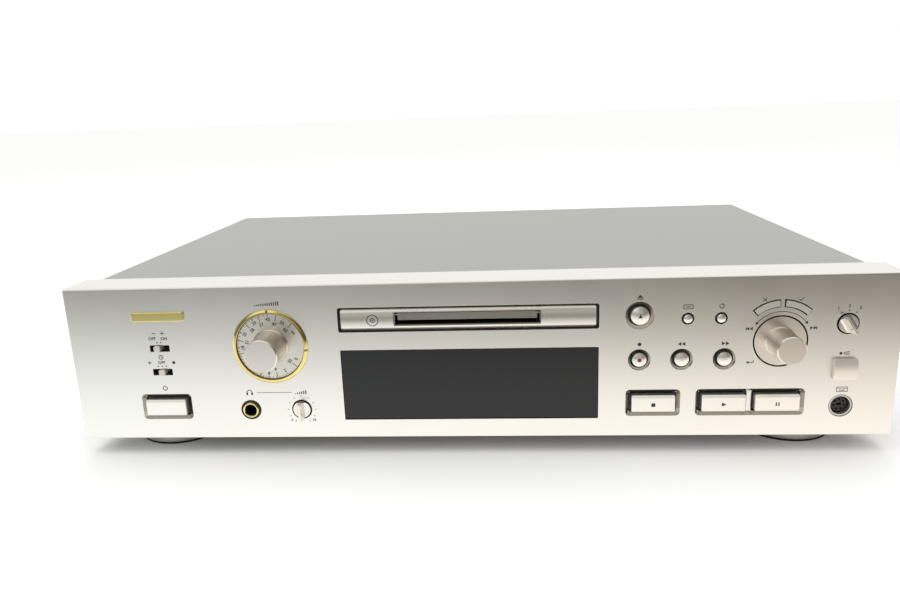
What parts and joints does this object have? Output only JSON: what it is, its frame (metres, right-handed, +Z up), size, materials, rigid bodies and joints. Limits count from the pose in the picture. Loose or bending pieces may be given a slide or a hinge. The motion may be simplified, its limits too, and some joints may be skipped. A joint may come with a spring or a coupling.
{
  "type": "minidisc deck",
  "caption": "Full-width hi-fi minidisc recorder: champagne fascia with disc slot, dark display, level and jog dials and keys, in a steel case on four round feet.",
  "frame": {"origin": "centre of the overall footprint, on the surface that the feet stand on", "axes": "+X to the right seen from the front, +Y into the cabinet, +Z up"},
  "size_m": [0.435, 0.2966, 0.096],
  "materials": {
    "champagne_panel": "satin champagne anodised",
    "champagne_plastic": "champagne painted plastic",
    "cover_steel": "satin grey-silver paint",
    "zinc_steel": "zinc plated",
    "machined_steel": "ground",
    "screw_steel": "nickel plated",
    "gold_trim": "polished",
    "foot_metal": "turned",
    "foot_rubber": "matte",
    "window_tint": "smoked, polished",
    "tube_glass": "dark glass",
    "black_plastic": "moulded",
    "grey_plastic": "moulded",
    "white_plastic": "acetal",
    "circuit_board": "solder mask",
    "transformer_iron": "varnished laminations"
  },
  "bodies": {
    "cabinet": {"front_panel": "champagne_panel", "top_cover": "cover_steel", "chassis_tray": "zinc_steel", "rear_panel": "zinc_steel", "feet": "foot_metal", "foot_pads": "foot_rubber", "case_screws": "screw_steel", "display_window": "window_tint", "display_tube": "tube_glass", "slot_bezel": "champagne_plastic", "level_ring": "gold_trim", "level_pot": "grey_plastic", "phones_jack": "black_plastic", "phones_ring": "gold_trim", "phones_pot": "grey_plastic", "jog_encoder": "grey_plastic", "selector_switch": "grey_plastic", "optical_input": "black_plastic", "keyboard_socket": "black_plastic", "control_board": "circuit_board", "board_switches": "grey_plastic", "main_board": "circuit_board", "power_board": "circuit_board", "power_transformer": "transformer_iron", "line_jacks": "black_plastic", "optical_jacks": "black_plastic", "ac_inlet": "black_plastic", "mech_frame": "zinc_steel", "spindle_motor": "machined_steel", "guide_rods": "machined_steel", "drive_motors": "machined_steel"},
    "power_button": {"power_button": "champagne_plastic"},
    "eject_button": {"eject_button": "champagne_plastic"},
    "display_button": {"display_button": "champagne_plastic"},
    "play_mode_button": {"play_mode_button": "champagne_plastic"},
    "record_button": {"record_button": "champagne_plastic"},
    "rewind_button": {"rewind_button": "champagne_plastic"},
    "forward_button": {"forward_button": "champagne_plastic"},
    "stop_button": {"stop_button": "champagne_plastic"},
    "play_button": {"play_button": "champagne_plastic"},
    "pause_button": {"pause_button": "champagne_plastic"},
    "edit_button": {"edit_button": "champagne_plastic"},
    "yes_button": {"yes_button": "champagne_plastic"},
    "slot_flap": {"slot_flap": "champagne_plastic"},
    "level_knob": {"level_dial": "champagne_plastic", "level_knob": "champagne_plastic", "level_shaft": "machined_steel"},
    "phones_knob": {"phones_knob": "champagne_plastic"},
    "pitch_lever": {"pitch_lever": "champagne_plastic"},
    "timer_lever": {"timer_lever": "champagne_plastic"},
    "jog_shaft": {"jog_shaft": "machined_steel"},
    "jog_knob": {"jog_knob": "champagne_plastic"},
    "selector_knob": {"selector_knob": "champagne_plastic"},
    "optical_cap": {"optical_cap": "champagne_plastic"},
    "disc_holder": {"disc_holder": "zinc_steel"},
    "cam_slider": {"cam_slider": "white_plastic"},
    "loading_gear": {"loading_gear": "white_plastic"},
    "turntable": {"turntable": "machined_steel"},
    "pickup_sled": {"pickup_sled": "grey_plastic"},
    "lead_screw": {"lead_screw": "machined_steel"}
  },
  "joints": [
    {"name": "power_press", "type": "slide", "parent": "cabinet", "child": "power_button", "axis": [0, 1, 0], "range_m": [0, 0.001], "stiffness_N_per_m": 300},
    {"name": "eject_press", "type": "slide", "parent": "cabinet", "child": "eject_button", "axis": [0, 1, 0], "range_m": [0, 0.001], "stiffness_N_per_m": 300},
    {"name": "display_press", "type": "slide", "parent": "cabinet", "child": "display_button", "axis": [0, 1, 0], "range_m": [0, 0.001], "stiffness_N_per_m": 300},
    {"name": "play_mode_press", "type": "slide", "parent": "cabinet", "child": "play_mode_button", "axis": [0, 1, 0], "range_m": [0, 0.001], "stiffness_N_per_m": 300},
    {"name": "record_press", "type": "slide", "parent": "cabinet", "child": "record_button", "axis": [0, 1, 0], "range_m": [0, 0.001], "stiffness_N_per_m": 300},
    {"name": "rewind_press", "type": "slide", "parent": "cabinet", "child": "rewind_button", "axis": [0, 1, 0], "range_m": [0, 0.001], "stiffness_N_per_m": 300},
    {"name": "forward_press", "type": "slide", "parent": "cabinet", "child": "forward_button", "axis": [0, 1, 0], "range_m": [0, 0.001], "stiffness_N_per_m": 300},
    {"name": "stop_press", "type": "slide", "parent": "cabinet", "child": "stop_button", "axis": [0, 1, 0], "range_m": [0, 0.001], "stiffness_N_per_m": 300},
    {"name": "play_press", "type": "slide", "parent": "cabinet", "child": "play_button", "axis": [0, 1, 0], "range_m": [0, 0.001], "stiffness_N_per_m": 300},
    {"name": "pause_press", "type": "slide", "parent": "cabinet", "child": "pause_button", "axis": [0, 1, 0], "range_m": [0, 0.001], "stiffness_N_per_m": 300},
    {"name": "edit_press", "type": "slide", "parent": "cabinet", "child": "edit_button", "axis": [0, 1, 0], "range_m": [0, 0.001], "stiffness_N_per_m": 300},
    {"name": "yes_press", "type": "slide", "parent": "cabinet", "child": "yes_button", "axis": [0, 1, 0], "range_m": [0, 0.001], "stiffness_N_per_m": 300},
    {"name": "flap_swing", "type": "hinge", "parent": "cabinet", "child": "slot_flap", "pos_m": [-0.0005, -0.128, 0.0784], "axis": [1, 0, 0], "range_deg": [0, 80], "stiffness_Nm_per_rad": 0.002, "springref_deg": -11.46},
    {"name": "level_turn", "type": "hinge", "parent": "cabinet", "child": "level_knob", "pos_m": [-0.1063, -0.1307, 0.0624], "axis": [0, 1, 0], "range_deg": [-45, 240]},
    {"name": "phones_turn", "type": "hinge", "parent": "cabinet", "child": "phones_knob", "pos_m": [-0.0921, -0.1307, 0.0263], "axis": [0, 1, 0], "range_deg": [-150, 150]},
    {"name": "pitch_switch", "type": "slide", "parent": "cabinet", "child": "pitch_lever", "axis": [1, 0, 0], "range_m": [0, 0.0022]},
    {"name": "timer_switch", "type": "slide", "parent": "cabinet", "child": "timer_lever", "axis": [1, 0, 0], "range_m": [-0.0022, 0.0022]},
    {"name": "jog_press", "type": "slide", "parent": "cabinet", "child": "jog_shaft", "axis": [0, 1, 0], "range_m": [0, 0.0008], "stiffness_N_per_m": 500},
    {"name": "jog_turn", "type": "hinge", "parent": "jog_shaft", "child": "jog_knob", "pos_m": [0.15878, -0.1307, 0.0614], "axis": [0, 1, 0], "continuous": true},
    {"name": "selector_turn", "type": "hinge", "parent": "cabinet", "child": "selector_knob", "pos_m": [0.1912, -0.1307, 0.0702], "axis": [0, 1, 0], "range_deg": [0, 65]},
    {"name": "optical_cap_pull", "type": "slide", "parent": "cabinet", "child": "optical_cap", "axis": [0, -1, 0], "range_m": [0, 0.012]},
    {"name": "cam_slide", "type": "slide", "parent": "cabinet", "child": "cam_slider", "axis": [0, 1, 0], "range_m": [0, 0.008]},
    {"name": "holder_lower", "type": "slide", "parent": "cabinet", "child": "disc_holder", "axis": [0, 0, -1], "range_m": [0, 0.004]},
    {"name": "loading_gear_turn", "type": "hinge", "parent": "cabinet", "child": "loading_gear", "pos_m": [-0.0005, -0.0804, 0.0578], "axis": [-1, 0, 0], "range_deg": [0, 115]},
    {"name": "turntable_spin", "type": "hinge", "parent": "cabinet", "child": "turntable", "pos_m": [-0.0005, -0.0864, 0.0615], "axis": [0, 0, 1], "continuous": true},
    {"name": "sled_slide", "type": "slide", "parent": "cabinet", "child": "pickup_sled", "axis": [1, 0, 0], "range_m": [0, 0.0165]},
    {"name": "lead_screw_turn", "type": "hinge", "parent": "cabinet", "child": "lead_screw", "pos_m": [-0.0005, -0.0654, 0.058], "axis": [1, 0, 0], "range_deg": [0, 1985]}
  ],
  "couplings": [
    {"joint": "holder_lower", "follows": "cam_slide", "ratio": 0.5},
    {"joint": "loading_gear_turn", "follows": "cam_slide", "rad_per_m": 250},
    {"joint": "lead_screw_turn", "follows": "sled_slide", "rad_per_m": 2094.4}
  ]
}
